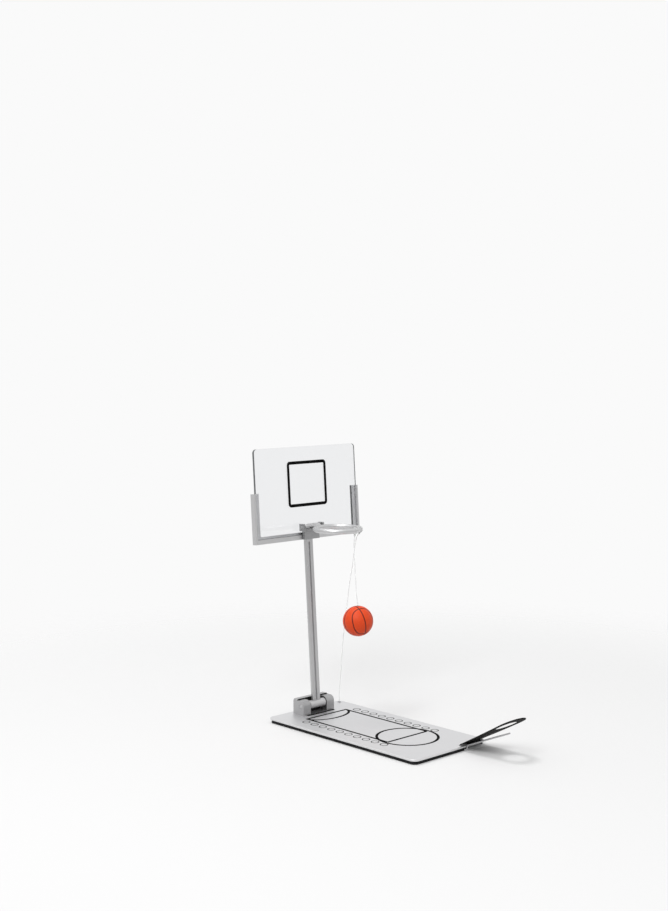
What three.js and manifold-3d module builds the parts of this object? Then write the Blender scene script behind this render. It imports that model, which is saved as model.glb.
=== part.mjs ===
import * as THREE from 'three';
import { mergeVertices } from 'three/addons/utils/BufferGeometryUtils.js';
import Module from 'manifold-3d';

const wasm = await Module();
wasm.setup();

// Millimetres, +Z up. The origin is the centre of the base underside, the launcher faces -Y.

// Fits
const seatGap = 0.02; // flat faces that sit on each other
const turnedGap = 0.25; // pieces of the leaning mast and what they seat in
const pinGap = 0.1; // round pin or screw in its hole
const cordGap = 0.3; // end of a string and what it meets
const overrun = 1; // how far a cut runs past the face it opens

// Court plate and the pad under it
const courtWidth = 79;
const courtLength = 159.6;
const courtThickness = 1.5;
const courtCorner = 5;
const courtEdge = 0.25;
const padHeight = 2.5;
const padInset = 1.2;

// Hinge block at the back of the court, measured from the hinge axis
const hingeSetback = 13.8; // axis to the back edge of the court
const hingeHeight = 7; // axis above the court
const mastLean = 3.95; // degrees back from upright
const blockWidth = 33.4;
const blockFront = 3.45;
const blockBack = 8.6;
const wallHeight = 12.2;
const wallThickness = 4.2;
const wallCorner = 1.6;
const earWidth = 8;
const earHeight = 11.3;
const earRound = 4.2;
const blockScrewSetback = 5.6;
const blockScrewRadius = 1.3;
const blockScrewHead = 2.6;
const blockScrewHeadHeight = 1.5;
const blockScrewDepth = 7;

// Barrel that the mast stands in, its pin and its two friction washers
const barrelRadius = 3.25;
const hingePinRadius = 1.5;
const washerThickness = 0.5;
const washerRadius = 3;
const washerGap = 0.1;

// Mast, a flat bar with a groove down its front
const mastWidth = 8;
const mastDepth = 2;
const mastFoot = 2.4; // foot above the hinge axis, inside the barrel
const mastGrooveWidth = 1.6;
const mastGrooveDepth = 0.9;
const mastGrooveStop = 2; // end of the groove below the frame
const mastScrewRadius = 0.6;
const mastScrewHead = 1.5;
const mastScrewHeadHeight = 1;
const mastScrewDepth = 1.5;

// Backboard: a U frame that holds a clear panel in its rebate
const boardRise = 132.8; // hinge axis to the lower edge of the frame
const frameWidth = 112.2;
const frameHeight = 39.5;
const frameArm = 6;
const frameBar = 5.65;
const frameDepth = 4.2;
const panelWidth = 108.1;
const panelRise = 3.85; // lower edge of the panel above that of the frame
const panelTop = 74; // top of the panel above the lower edge of the frame
const panelThickness = 2;
const panelCorner = 3;
const panelFit = 0.25;

// Bracket on the front of the frame, and the hoop that folds in it
const bracketWidth = 22;
const bracketDepth = 5.6;
const bracketHeight = 12.7;
const bracketEar = 1.7;
const bracketLedge = 7; // underside of the channel above the lower edge of the frame
const bracketFloor = 8.3; // top of its floor above that edge
const bracketRound = 1;
const bracketBlockWidth = 16;
const bracketBlockDepth = 2.6;
const bracketScrewSpread = 5.5;
const bracketScrewRise = 1.9;
const bracketScrewRadius = 0.8;
const bracketScrewHead = 1.6;
const bracketScrewHeadHeight = 0.9;
const bracketScrewDepth = 1.9;
const hoopPinRise = 10.5; // hoop pin above the lower edge of the frame
const hoopPinReach = 5.2; // hoop pin in front of the middle of the frame
const hoopPinRadius = 0.8;
const hoopReach = 29.6; // hoop pin to the centre of the ring
const hoopRadius = 17.2;
const hoopTube = 2;
const footRadius = 1.9;
const footWidth = 16;
const neckWidth = 7;
const neckThickness = 2.4;

// String on the hoop: a winding, a knot, the ball's string and the tether to the court
const stringRadius = 0.3;
const windingAngle = 42; // degrees round the ring from its front
const windingThickness = 0.9;
const windingWidth = 2.6;
const knotAngle = 8;
const knotDrop = 3.4;
const knotRadius = 0.8;
const ballRadius = 11.9;
const plugRadius = 1.2;
const plugDepth = 4;
const ballHang = [2.3, -1.3, -70.8]; // from the middle of the tube above the knot to the middle of the ball
const grommetSide = 4.7; // from the right edge of the court
const grommetSetback = 4.4; // from the back edge

// Courses of the strings: shares of the way along X, Y and Z from the first named end to the last
const ballStringShares = [
  [0, 0, 0],
  [-0.2, -0.2, 0.08],
  [-0.22, -0.22, 0.2],
  [0.06, 0.06, 0.42],
  [0.44, 0.44, 0.78],
  [0.8, 0.8, 0.94],
  [1, 1, 1],
];
const tetherHighShares = [
  [0, 0, 0],
  [0.11, 0.11, 0.02],
  [0.23, 0.23, 0.09],
  [0.33, 0.33, 0.19],
  [0.43, 0.43, 0.26],
  [0.51, 0.51, 0.33],
  [0.59, 0.59, 0.41],
  [0.67, 0.67, 0.49],
];
const tetherLowShares = [
  [0.673, 0.673, 0.492],
  [0.74, 0.74, 0.57],
  [0.8, 0.8, 0.63],
  [0.855, 0.855, 0.725],
  [0.9, 0.9, 0.8],
  [0.95, 0.95, 0.88],
  [0.988, 0.99, 0.948],
  [1, 1, 1],
];
const grommetRadius = 1.5;
const grommetBore = 0.6;
const grommetHeight = 0.5;
const grommetHole = 1;
const tetherKnotRadius = 1;

// Launcher: a curved black leaf with a ring end, clamped under the court
const launcherSide = 14.8; // middle of the leaf from the right edge of the court
const leafWidth = 25;
const leafThickness = 0.6;
const leafReach = 42.2; // root to the centre of the rounded end
const leafHole = 8.6;
const leafHolePlace = 38.3; // root to the centre of the hole
const leafRootAngle = 28.3; // degrees
const leafTipAngle = 30.6;
const leafTwist = 4.6; // degrees from root to tip, right side down
const leafLift = 0.5; // root above the court
const slotBorder = 2.2; // court left in front of the slot
const slotWidth = 2;
const slotFit = 0.5;
const tailWidth = 17;
const tailLength = 9;
const tailShift = 3.6; // the tail is narrower than the leaf and stands right of its middle
const clampLength = 6;
const clampThickness = 1;
const clampScrewSpread = 5.5;
const clampScrewRadius = 0.8;
const clampScrewHead = 1.5;
const clampScrewHeadHeight = 0.6;
const clampScrewDepth = 0.9;

// Stop wire under the leaf
const wireRadius = 0.6;
const wireSide = 23.5; // from the right edge of the court
const wireTail = 9;
const wireDrop = 1; // axis of the tail below the court plate
const wireBend = 1.1;
const wireClear = 0.25; // leg to the front edge of the court
const wireLegTop = 3.6; // above the ground
const wireArmStart = 0.62; // start of the arm above the leg
const wireArmLength = 43.5;
const wireArmAngle = 23.2;

// Round counts
const smallSides = 20;
const roundSides = 40;
const cordSides = 8;
const fullAngle = 2 * Math.PI;

// Heights and places that follow from the sizes above
const courtBottom = padHeight + seatGap;
const courtTop = courtBottom + courtThickness;
const courtFront = -courtLength / 2;
const hingeY = courtLength / 2 - hingeSetback;
const hingeZ = courtTop + hingeHeight;
const slotFrontY = courtFront + slotBorder;
const leafRootY = slotFrontY + slotWidth / 2;
const leafRootZ = courtTop + leafLift;
const launcherPlace = courtWidth / 2 - launcherSide;
const wirePlace = courtWidth / 2 - wireSide;
const grommetPlace = [courtWidth / 2 - grommetSide, courtLength / 2 - grommetSetback];
const barrelLength = blockWidth - 2 * (earWidth + washerThickness + 2 * washerGap);
const hoopPinZ = boardRise + hoopPinRise;
const frameFront = -frameDepth / 2;
const panelBack = frameFront + panelThickness;
const bracketBackY = frameFront - turnedGap;

function radians(degrees) {
  return THREE.MathUtils.degToRad(degrees);
}

function solidOf(geometry) {
  const bare = geometry.clone();
  bare.deleteAttribute('normal');
  bare.deleteAttribute('uv');
  const welded = mergeVertices(bare);
  const triVerts = Uint32Array.from(welded.index.array);
  const vertProperties = Float32Array.from(welded.attributes.position.array);
  return new wasm.Manifold(new wasm.Mesh({ numProp: 3, vertProperties, triVerts }));
}

function geometryOf(solid) {
  const mesh = solid.getMesh();
  const geometry = new THREE.BufferGeometry();
  geometry.setAttribute('position', new THREE.BufferAttribute(mesh.vertProperties, 3));
  geometry.setIndex(new THREE.BufferAttribute(mesh.triVerts, 1));
  geometry.computeVertexNormals();
  return geometry;
}

function joined(...shapes) {
  return geometryOf(shapes.map(solidOf).reduce((whole, next) => whole.add(next)));
}

function cut(shape, ...tools) {
  return geometryOf(tools.map(solidOf).reduce((whole, tool) => whole.subtract(tool), solidOf(shape)));
}

function block(lowX, highX, lowY, highY, lowZ, highZ) {
  const box = new THREE.BoxGeometry(highX - lowX, highY - lowY, highZ - lowZ);
  return box.translate((lowX + highX) / 2, (lowY + highY) / 2, (lowZ + highZ) / 2);
}

function rodUp(radius, x, y, lowZ, highZ, sides = smallSides) {
  const rod = new THREE.CylinderGeometry(radius, radius, highZ - lowZ, sides);
  return rod.rotateX(Math.PI / 2).translate(x, y, (lowZ + highZ) / 2);
}

function rodAcross(radius, lowX, highX, y, z, sides = smallSides) {
  const rod = new THREE.CylinderGeometry(radius, radius, highX - lowX, sides);
  return rod.rotateZ(Math.PI / 2).translate((lowX + highX) / 2, y, z);
}

function rodBack(radius, x, lowY, highY, z, sides = smallSides) {
  const rod = new THREE.CylinderGeometry(radius, radius, highY - lowY, sides);
  return rod.translate(x, (lowY + highY) / 2, z);
}

function roundedOutline(lowX, highX, lowY, highY, lowRound, highRound) {
  const outline = new THREE.Shape();
  outline.moveTo(lowX + lowRound, lowY);
  outline.absarc(highX - lowRound, lowY + lowRound, lowRound, -Math.PI / 2, 0);
  outline.absarc(highX - highRound, highY - highRound, highRound, 0, Math.PI / 2);
  outline.absarc(lowX + highRound, highY - highRound, highRound, Math.PI / 2, Math.PI);
  outline.absarc(lowX + lowRound, lowY + lowRound, lowRound, Math.PI, 1.5 * Math.PI);
  return outline;
}

function roundHole(x, y, radius) {
  return new THREE.Path().absarc(x, y, radius, 0, fullAngle, true);
}

function slab(outline, lowZ, highZ, edge = 0) {
  const options = { depth: highZ - lowZ - 2 * edge, curveSegments: 8, bevelEnabled: edge > 0 };
  Object.assign(options, { bevelThickness: edge, bevelSize: edge, bevelOffset: -edge, bevelSegments: 1 });
  return new THREE.ExtrudeGeometry(outline, options).translate(0, 0, lowZ + edge);
}

// An outline drawn in Y and Z, given its width along X
function sideSlab(outline, lowX, highX) {
  const options = { depth: highX - lowX, curveSegments: 8, bevelEnabled: false };
  const slabbed = new THREE.ExtrudeGeometry(outline, options);
  return slabbed.rotateY(Math.PI / 2).rotateX(Math.PI / 2).translate(lowX, 0, 0);
}

// An outline drawn in X and Z, given its depth along Y
function frontSlab(outline, lowY, highY) {
  const options = { depth: highY - lowY, curveSegments: 8, bevelEnabled: false };
  const slabbed = new THREE.ExtrudeGeometry(outline, options);
  return slabbed.rotateX(Math.PI / 2).translate(0, highY, 0);
}

function tubeAlong(points, radius, steps, sides = cordSides) {
  const section = new THREE.Shape();
  for (let side = 0; side < sides; side += 1) {
    const angle = (side / sides) * fullAngle;
    const place = [radius * Math.cos(angle), radius * Math.sin(angle)];
    if (side === 0) section.moveTo(...place);
    else section.lineTo(...place);
  }
  section.closePath();
  const extrudePath = new THREE.CatmullRomCurve3(points.map((point) => new THREE.Vector3(...point)));
  return new THREE.ExtrudeGeometry(section, { steps, extrudePath, bevelEnabled: false });
}

function paint(color, roughness, metalness) {
  return new THREE.MeshStandardMaterial({ color, roughness, metalness });
}

const brushedAluminium = paint(0xbcbdc0, 0.42, 1);
const polishedAluminium = paint(0xc6c7ca, 0.24, 1);
const steel = paint(0x9a9ca0, 0.3, 1);
const blackSteel = paint(0x0c0c0d, 0.45, 0.4);
const blackFoam = paint(0x101011, 0.92, 0);
const clearAcrylic = paint(0xe9ebee, 0.08, 0);
const orangeRubber = paint(0xd8491c, 0.55, 0);
const clearLine = paint(0xe6e7e6, 0.3, 0);
const darkSteel = paint(0x6f7073, 0.38, 1);

function piece(group, name, geometry, material) {
  const mesh = new THREE.Mesh(geometry, material);
  mesh.name = name;
  group.add(mesh);
}

// One left and one right of the middle
function pieces(group, name, geometries, material) {
  geometries.forEach((geometry, index) => {
    piece(group, `${name}_${index === 0 ? 'left' : 'right'}`, geometry, material);
  });
}

const game = new THREE.Group();

const mastGroup = new THREE.Group();
mastGroup.position.set(0, hingeY, hingeZ);
mastGroup.rotation.x = -radians(mastLean);
game.add(mastGroup);

const hoopGroup = new THREE.Group();
hoopGroup.position.set(0, -hoopPinReach, hoopPinZ);
hoopGroup.rotation.x = radians(mastLean);
mastGroup.add(hoopGroup);

// Base

function courtOutline(inset) {
  const halfWidth = courtWidth / 2 - inset;
  const halfLength = courtLength / 2 - inset;
  const corner = courtCorner - inset;
  return roundedOutline(-halfWidth, halfWidth, -halfLength, halfLength, corner, corner);
}

function blockScrewPlaces() {
  const x = (blockWidth - earWidth) / 2;
  return [-x, x].map((place) => [place, hingeY + blockScrewSetback]);
}

function clampScrewPlaces() {
  const middle = launcherPlace + tailShift;
  return [-clampScrewSpread, clampScrewSpread].map((x) => [middle + x, clampMiddleY]);
}

const tailBackY = leafRootY + tailLength;
const clampMiddleY = tailBackY - clampLength / 2;
const tailTop = courtBottom - seatGap;
const tailBottom = tailTop - leafThickness;
const clampTop = tailBottom - seatGap;
const clampBottom = clampTop - clampThickness;

function courtPlate() {
  const outline = courtOutline(0);
  blockScrewPlaces().forEach(([x, y]) => outline.holes.push(roundHole(x, y, blockScrewRadius + pinGap)));
  outline.holes.push(roundHole(...grommetPlace, grommetHole + pinGap));
  const slotHalf = leafWidth / 2 + slotFit;
  const slot = block(
    launcherPlace - slotHalf, launcherPlace + slotHalf, slotFrontY, slotFrontY + slotWidth,
    courtBottom - overrun, courtTop + overrun,
  );
  const screwHoles = clampScrewPlaces().map(([x, y]) =>
    rodUp(clampScrewRadius + pinGap, x, y, courtBottom - overrun, courtBottom + clampScrewDepth + pinGap));
  return cut(slab(outline, courtBottom, courtTop, courtEdge), slot, ...screwHoles);
}

function basePad() {
  const outline = courtOutline(padInset);
  blockScrewPlaces().forEach(([x, y]) => outline.holes.push(roundHole(x, y, blockScrewHead + cordGap)));
  outline.holes.push(roundHole(...grommetPlace, tetherKnotRadius + cordGap));
  const recess = block(
    wirePlace - wireRadius - cordGap, launcherPlace + leafWidth / 2 + slotFit,
    courtFront - overrun, tailBackY + cordGap, -overrun, padHeight + overrun,
  );
  return cut(slab(outline, 0, padHeight), recess);
}

function hingeBlock() {
  const low = courtTop + seatGap;
  const half = blockWidth / 2;
  const ear = new THREE.Shape();
  ear.moveTo(hingeY - blockFront, low);
  ear.lineTo(hingeY + blockBack - overrun, low);
  ear.lineTo(hingeY + blockBack - overrun, low + earHeight);
  ear.absarc(hingeY - blockFront + earRound, low + earHeight - earRound, earRound, Math.PI / 2, Math.PI);
  const ears = [-half, half - earWidth].map((x) => sideSlab(ear, x, x + earWidth));
  const wallOutline = roundedOutline(-half, half, low, low + wallHeight, 0, wallCorner);
  const wall = frontSlab(wallOutline, hingeY + blockBack - wallThickness, hingeY + blockBack);
  const bore = rodAcross(hingePinRadius + pinGap, -half - overrun, half + overrun, hingeY, hingeZ);
  const screwHoles = blockScrewPlaces().map(([x, y]) =>
    rodUp(blockScrewRadius + pinGap, x, y, low - overrun, low + blockScrewDepth + cordGap));
  return cut(joined(...ears, wall), bore, ...screwHoles);
}

function screwUp([x, y], radius, head, headHeight, headTop, tip) {
  return joined(
    rodUp(head, x, y, headTop - headHeight, headTop),
    rodUp(radius, x, y, headTop - headHeight / 2, tip),
  );
}

function blockScrew(place) {
  const tip = courtTop + blockScrewDepth;
  const headTop = courtBottom - seatGap;
  return screwUp(place, blockScrewRadius, blockScrewHead, blockScrewHeadHeight, headTop, tip);
}

function clampScrew(place) {
  const tip = courtBottom + clampScrewDepth;
  const headTop = clampBottom - seatGap;
  return screwUp(place, clampScrewRadius, clampScrewHead, clampScrewHeadHeight, headTop, tip);
}

piece(game, 'court_plate', courtPlate(), brushedAluminium);
piece(game, 'base_pad', basePad(), blackFoam);
piece(game, 'hinge_block', hingeBlock(), brushedAluminium);
pieces(game, 'block_screw', blockScrewPlaces().map(blockScrew), steel);
piece(game, 'hinge_pin', rodAcross(hingePinRadius, -blockWidth / 2, blockWidth / 2, hingeY, hingeZ), steel);

// Mast and barrel, drawn upright round the hinge axis

function mastBarrel() {
  const half = barrelLength / 2;
  const bore = rodAcross(hingePinRadius + pinGap, -half - overrun, half + overrun, 0, 0);
  const pocketX = mastWidth / 2 + turnedGap;
  const pocketY = mastDepth / 2 + turnedGap;
  const pocket = block(-pocketX, pocketX, -pocketY, pocketY, mastFoot - turnedGap, barrelRadius + overrun);
  return cut(rodAcross(barrelRadius, -half, half, 0, 0, roundSides), bore, pocket);
}

function barrelWashers() {
  const inner = barrelLength / 2 + washerGap;
  return [-inner - washerThickness, inner].map((x) => cut(
    rodAcross(washerRadius, x, x + washerThickness, 0, 0),
    rodAcross(hingePinRadius + pinGap, x - overrun, x + washerThickness + overrun, 0, 0),
  ));
}

const mastTop = boardRise - turnedGap;

function mast() {
  const bar = block(-mastWidth / 2, mastWidth / 2, -mastDepth / 2, mastDepth / 2, mastFoot, mastTop);
  const grooveHalf = mastGrooveWidth / 2;
  const grooveTop = mastTop - mastGrooveStop - grooveHalf;
  const grooveBack = -mastDepth / 2 + mastGrooveDepth;
  const groove = joined(
    block(-grooveHalf, grooveHalf, -mastDepth / 2 - overrun, grooveBack, barrelRadius, grooveTop),
    rodBack(grooveHalf, 0, -mastDepth / 2 - overrun, grooveBack, grooveTop),
  );
  const screwTip = mastTop - mastScrewDepth;
  const screwHole = rodUp(mastScrewRadius + pinGap, 0, 0, screwTip - pinGap, mastTop + overrun);
  return cut(bar, groove, screwHole);
}

piece(mastGroup, 'mast_barrel', mastBarrel(), brushedAluminium);
pieces(mastGroup, 'barrel_washer', barrelWashers(), blackFoam);
piece(mastGroup, 'mast', mast(), brushedAluminium);

// Backboard

function backboardFrame() {
  const half = frameWidth / 2;
  const inner = half - frameArm;
  const low = boardRise;
  const top = boardRise + frameHeight;
  const bar = block(-half, half, frameFront, -frameFront, low, low + frameBar);
  const armSides = [[-half, -inner], [inner, half]];
  const arms = armSides.map(([left, right]) => block(left, right, frameFront, -frameFront, low, top));
  const panelHalf = panelWidth / 2 + panelFit;
  const rebateFloor = low + panelRise - panelFit;
  const rebate = block(
    -panelHalf, panelHalf, frameFront - overrun, panelBack + panelFit, rebateFloor, top + overrun,
  );
  const mastHole = rodUp(mastScrewRadius + pinGap, 0, 0, low - overrun, low + panelRise);
  const headFloor = rebateFloor - mastScrewHeadHeight - pinGap;
  const headHole = rodUp(mastScrewHead + pinGap, 0, 0, headFloor, low + frameBar + overrun);
  const bore = bracketScrewRadius + pinGap;
  const bracketHoles = bracketScrewPlaces.map((x) =>
    rodBack(bore, x, frameFront - overrun, -frameFront + overrun, low + bracketScrewRise));
  return cut(joined(bar, ...arms), rebate, mastHole, headHole, ...bracketHoles);
}

function backboardPanel() {
  const half = panelWidth / 2;
  const outline = roundedOutline(-half, half, boardRise + panelRise, boardRise + panelTop, 0, panelCorner);
  return frontSlab(outline, frameFront, panelBack);
}

function mastScrew() {
  const headTop = boardRise + panelRise - panelFit - seatGap;
  return joined(
    rodUp(mastScrewHead, 0, 0, headTop - mastScrewHeadHeight, headTop),
    rodUp(mastScrewRadius, 0, 0, mastTop - mastScrewDepth, headTop - mastScrewHeadHeight / 2),
  );
}

function hoopBracket() {
  const half = bracketWidth / 2;
  const front = bracketBackY - bracketDepth;
  const low = boardRise;
  const top = low + bracketHeight;
  const ledge = low + bracketLedge;
  const side = new THREE.Shape();
  side.moveTo(front, ledge);
  side.lineTo(bracketBackY, ledge);
  side.lineTo(bracketBackY, top);
  side.absarc(front + bracketRound, top - bracketRound, bracketRound, Math.PI / 2, Math.PI);
  const inner = half - bracketEar;
  const slot = block(
    -inner, inner, front - overrun, bracketBackY + overrun, low + bracketFloor, top + overrun,
  );
  const blockHalf = bracketBlockWidth / 2;
  const foot = block(
    -blockHalf, blockHalf, bracketBackY - bracketBlockDepth, bracketBackY, low, ledge + bracketRound,
  );
  const bore = rodAcross(hoopPinRadius + pinGap, -half - overrun, half + overrun, -hoopPinReach, hoopPinZ);
  const screwHoles = bracketScrewPlaces.map((x) =>
    rodBack(
      bracketScrewRadius + pinGap, x, bracketBackY - bracketScrewDepth - cordGap, bracketBackY + overrun,
      low + bracketScrewRise,
    ));
  return cut(joined(sideSlab(side, -half, half), foot), slot, bore, ...screwHoles);
}

const bracketScrewPlaces = [-bracketScrewSpread, bracketScrewSpread];

function bracketScrew(x) {
  const back = -frameFront + turnedGap;
  const z = boardRise + bracketScrewRise;
  return joined(
    rodBack(bracketScrewHead, x, back, back + bracketScrewHeadHeight, z),
    rodBack(bracketScrewRadius, x, bracketBackY - bracketScrewDepth, back + bracketScrewHeadHeight / 2, z),
  );
}

function hoopRing() {
  const ring = new THREE.TorusGeometry(hoopRadius, hoopTube, 12, 56).translate(0, -hoopReach, 0);
  const foot = rodAcross(footRadius, -footWidth / 2, footWidth / 2, 0, 0, smallSides);
  const half = neckWidth / 2;
  const neckEnd = -hoopReach + Math.sqrt(hoopRadius ** 2 - half ** 2);
  const neck = block(-half, half, neckEnd, 0, -neckThickness / 2, neckThickness / 2);
  const bore = rodAcross(hoopPinRadius + pinGap, -footWidth / 2 - overrun, footWidth / 2 + overrun, 0, 0);
  return cut(joined(ring, foot, neck), bore);
}

piece(mastGroup, 'backboard_frame', backboardFrame(), brushedAluminium);
piece(mastGroup, 'backboard_panel', backboardPanel(), clearAcrylic);
piece(mastGroup, 'mast_screw', mastScrew(), steel);
piece(mastGroup, 'hoop_bracket', hoopBracket(), brushedAluminium);
pieces(mastGroup, 'bracket_screw', bracketScrewPlaces.map(bracketScrew), steel);
const hoopPin = rodAcross(hoopPinRadius, -bracketWidth / 2, bracketWidth / 2, -hoopPinReach, hoopPinZ);
piece(mastGroup, 'hoop_pin', hoopPin, steel);
piece(hoopGroup, 'hoop_ring', hoopRing(), polishedAluminium);

// String, knots and ball

function stringWinding() {
  const inner = hoopTube + turnedGap;
  const halfWidth = windingWidth / 2;
  const outer = inner + windingThickness;
  const outline = roundedOutline(inner, outer, -halfWidth, halfWidth, 0, windingThickness / 2);
  const winding = new THREE.LatheGeometry([...outline.getPoints(3), outline.getPoints(3)[0]], smallSides);
  const angle = radians(windingAngle);
  winding.rotateZ(Math.PI / 2).rotateZ(angle);
  return winding.translate(hoopRadius * Math.sin(angle), -hoopReach - hoopRadius * Math.cos(angle), 0);
}

piece(hoopGroup, 'string_winding', stringWinding(), clearLine);

// Middle of the hoop's tube at an angle from its front, as a place in the whole game
function tubePlace(angle) {
  const [x, y] = [hoopRadius * Math.sin(angle), -hoopReach - hoopRadius * Math.cos(angle)];
  return hoopGroup.localToWorld(new THREE.Vector3(x, y, 0)).toArray();
}

function routeOf(shares, first, last) {
  return shares.map((share) => share.map((part, axis) => first[axis] + part * (last[axis] - first[axis])));
}

game.updateMatrixWorld(true);
const tie = tubePlace(radians(knotAngle));
const knotPlace = [tie[0], tie[1], tie[2] - knotDrop];
const ballPlace = tie.map((value, axis) => value + ballHang[axis]);
const ballTop = ballPlace[2] + ballRadius;

function ballString() {
  const first = [knotPlace[0], knotPlace[1], knotPlace[2] - knotRadius - cordGap];
  const last = [ballPlace[0], ballPlace[1], ballTop + cordGap];
  return tubeAlong(routeOf(ballStringShares, first, last), stringRadius, 20);
}

function tether(shares) {
  const [x, y, z] = tubePlace(radians(windingAngle));
  const first = [x, y, z - hoopTube - turnedGap - windingThickness - cordGap];
  const last = [...grommetPlace, courtTop + grommetHeight + cordGap];
  return tubeAlong(routeOf(shares, first, last), stringRadius, 30);
}

function ball() {
  const sphere = new THREE.SphereGeometry(ballRadius, 36, 20).rotateX(Math.PI / 2).translate(...ballPlace);
  const [x, y] = ballPlace;
  const hole = rodUp(plugRadius + pinGap, x, y, ballTop - plugDepth, ballTop + overrun, cordSides * 2);
  return cut(sphere, hole);
}

function ballPlug() {
  const [x, y] = ballPlace;
  return rodUp(plugRadius, x, y, ballTop - plugDepth + pinGap, ballTop + seatGap, cordSides * 2);
}

const knot = new THREE.SphereGeometry(knotRadius, 12, 8).translate(...knotPlace);
piece(game, 'string_knot', knot, clearLine);
piece(game, 'ball', ball(), orangeRubber);
piece(game, 'ball_plug', ballPlug(), blackFoam);
piece(game, 'ball_string', ballString(), clearLine);
piece(game, 'tether_high', tether(tetherHighShares), clearLine);
piece(game, 'tether_low', tether(tetherLowShares), clearLine);

function tetherGrommet() {
  const body = joined(
    rodUp(grommetRadius, ...grommetPlace, courtTop + seatGap, courtTop + grommetHeight),
    rodUp(grommetHole, ...grommetPlace, courtBottom, courtTop + grommetHeight / 2),
  );
  return cut(body, rodUp(grommetBore, ...grommetPlace, -overrun, courtTop + overrun));
}

function tetherKnot() {
  const [x, y] = grommetPlace;
  const middle = courtBottom - cordGap - tetherKnotRadius;
  const lump = new THREE.SphereGeometry(tetherKnotRadius, 12, 8).translate(x, y, middle);
  return joined(lump, rodUp(stringRadius, x, y, middle, courtTop + grommetHeight, cordSides));
}

piece(game, 'tether_grommet', tetherGrommet(), steel);
piece(game, 'tether_knot', tetherKnot(), clearLine);

// Launcher

function leafPoint(sideways, along, off) {
  const total = leafReach + leafWidth / 2;
  const twist = (radians(leafTwist) * along) / total;
  const first = radians(leafRootAngle);
  const change = (radians(leafTipAngle) - first) / total;
  const here = first + change * along;
  const forward = (Math.sin(here) - Math.sin(first)) / change;
  const rise = (Math.cos(first) - Math.cos(here)) / change;
  return [
    launcherPlace + sideways * Math.cos(twist) + off * Math.sin(twist),
    leafRootY - forward + off * Math.sin(here),
    leafRootZ + rise + off * Math.cos(here) - sideways * Math.sin(twist),
  ];
}

function launcherLeaf() {
  const half = leafWidth / 2;
  const outline = new THREE.Shape();
  const sideSteps = 6;
  for (let step = 0; step <= sideSteps; step += 1) {
    const place = [half, (leafReach * step) / sideSteps];
    if (step === 0) outline.moveTo(...place);
    else outline.lineTo(...place);
  }
  outline.absarc(0, leafReach, half, 0, Math.PI);
  for (let step = sideSteps; step >= 0; step -= 1) outline.lineTo(-half, (leafReach * step) / sideSteps);
  outline.holes.push(roundHole(0, leafHolePlace, leafHole));
  const options = { depth: leafThickness, curveSegments: 16, bevelEnabled: false };
  const flat = new THREE.ExtrudeGeometry(outline, options);
  const position = flat.attributes.position;
  for (let index = 0; index < position.count; index += 1) {
    const off = position.getZ(index) - leafThickness / 2;
    const place = leafPoint(-position.getX(index), position.getY(index), off);
    position.setXYZ(index, ...place);
  }
  return joined(flat);
}

function springTail() {
  const middle = launcherPlace + tailShift;
  const half = tailWidth / 2;
  const lipTop = courtTop + leafLift - leafThickness / 2 - cordGap;
  const lipHalf = leafWidth / 2;
  const lipBack = leafRootY + leafThickness;
  return joined(
    block(middle - half, middle + half, leafRootY, tailBackY, tailBottom, tailTop),
    block(middle - half, launcherPlace + lipHalf, leafRootY, lipBack, tailBottom, lipTop),
    block(launcherPlace - lipHalf, middle, leafRootY, lipBack, courtBottom, lipTop),
  );
}

function clampBar() {
  const middle = launcherPlace + tailShift;
  const half = tailWidth / 2;
  const front = tailBackY - clampLength;
  const bar = block(middle - half, middle + half, front, tailBackY, clampBottom, clampTop);
  return cut(bar, ...clampScrewPlaces().map(([x, y]) =>
    rodUp(clampScrewRadius + pinGap, x, y, clampBottom - overrun, clampTop + overrun)));
}

function tailWithHoles() {
  return cut(springTail(), ...clampScrewPlaces().map(([x, y]) =>
    rodUp(clampScrewRadius + pinGap, x, y, tailBottom - overrun, tailTop + overrun)));
}

const wireLegY = courtFront - wireClear - wireRadius;
const wireTailZ = courtBottom - wireDrop;

function wireLeg() {
  const route = [
    [wirePlace, wireLegY + wireTail, wireTailZ],
    [wirePlace, wireLegY + wireBend * 2, wireTailZ],
    [wirePlace, wireLegY + wireBend, wireTailZ],
    [wirePlace, wireLegY, wireTailZ + wireBend],
    [wirePlace, wireLegY, wireLegTop],
  ];
  return tubeAlong(route, wireRadius, 14);
}

function stopWire() {
  const arm = rodBack(wireRadius, wirePlace, -wireArmLength, 0, 0, cordSides);
  return arm.rotateX(-radians(wireArmAngle)).translate(0, wireLegY, wireLegTop + wireArmStart);
}

piece(game, 'launcher_leaf', launcherLeaf(), blackSteel);
piece(game, 'spring_tail', tailWithHoles(), blackSteel);
piece(game, 'clamp_bar', clampBar(), darkSteel);
pieces(game, 'clamp_screw', clampScrewPlaces().map(clampScrew), steel);
piece(game, 'wire_leg', wireLeg(), steel);
piece(game, 'stop_wire', stopWire(), steel);

export default game;
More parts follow.
